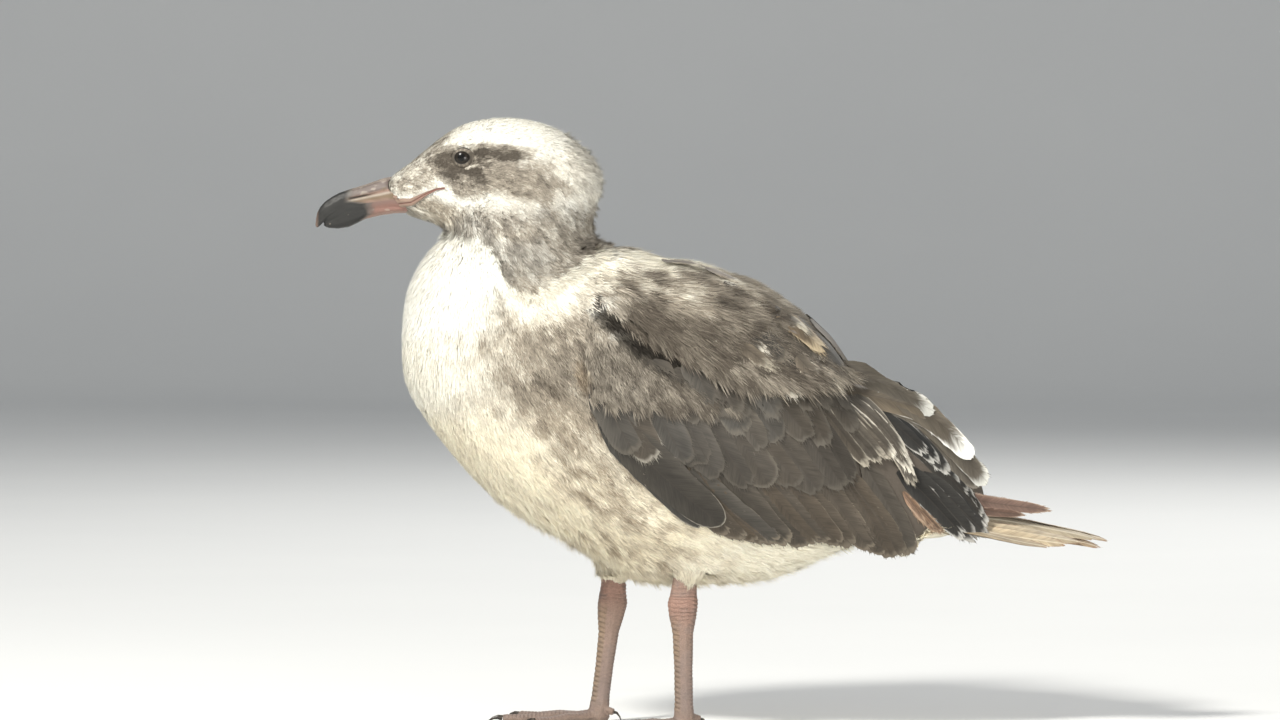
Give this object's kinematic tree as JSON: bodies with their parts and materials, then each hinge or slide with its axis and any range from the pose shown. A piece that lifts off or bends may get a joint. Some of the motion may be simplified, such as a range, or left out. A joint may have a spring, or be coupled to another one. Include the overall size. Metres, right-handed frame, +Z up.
{
  "type": "seagull",
  "caption": "Life-size standing immature gull with drawn-in neck, folded wings, a slightly fanned worn tail and webbed feet flat on the floor.",
  "frame": {"origin": "middle of the bird's bounding box, on the floor under it", "axes": "+Z up, -X the way the bill points, -Y the bird's left side"},
  "size_m": [0.464, 0.158, 0.357],
  "materials": {
    "feather_pale": "matt cream-white plumage with grey-brown streaks",
    "feather_streaked": "matt grey-brown streaked plumage",
    "feather_brown": "matt grey-brown feathers with cream edges",
    "feather_dark": "matt dark brown flight feathers",
    "feather_black": "satin blackish primaries with pale tips",
    "feather_fawn": "worn fawn tail feathers",
    "leg_skin": "dull pinkish-grey scaled skin",
    "bill_horn": "satin horn, pink at the base and black at the tip",
    "claw_horn": "satin blackish horn",
    "eye": "glossy dark brown"
  },
  "bodies": {
    "root": {"head": "feather_pale", "neck": "feather_streaked", "breast": "feather_pale", "belly": "feather_pale", "rump": "feather_pale", "tail": "feather_fawn", "bill_upper": "bill_horn", "bill_lower": "bill_horn", "eye_left": "eye", "eye_right": "eye", "scapulars_left": "feather_brown", "coverts_left": "feather_brown", "secondaries_left": "feather_dark", "tertials_left": "feather_brown", "primaries_left": "feather_black", "thigh_left": "feather_pale", "shank_left": "leg_skin", "foot_left": "leg_skin", "claw_left_inner": "claw_horn", "claw_left_middle": "claw_horn", "claw_left_outer": "claw_horn", "claw_left_hind": "claw_horn", "scapulars_right": "feather_brown", "coverts_right": "feather_brown", "secondaries_right": "feather_dark", "tertials_right": "feather_brown", "primaries_right": "feather_black", "thigh_right": "feather_pale", "shank_right": "leg_skin", "foot_right": "leg_skin", "claw_right_inner": "claw_horn", "claw_right_middle": "claw_horn", "claw_right_outer": "claw_horn", "claw_right_hind": "claw_horn"}
  },
  "joints": []
}
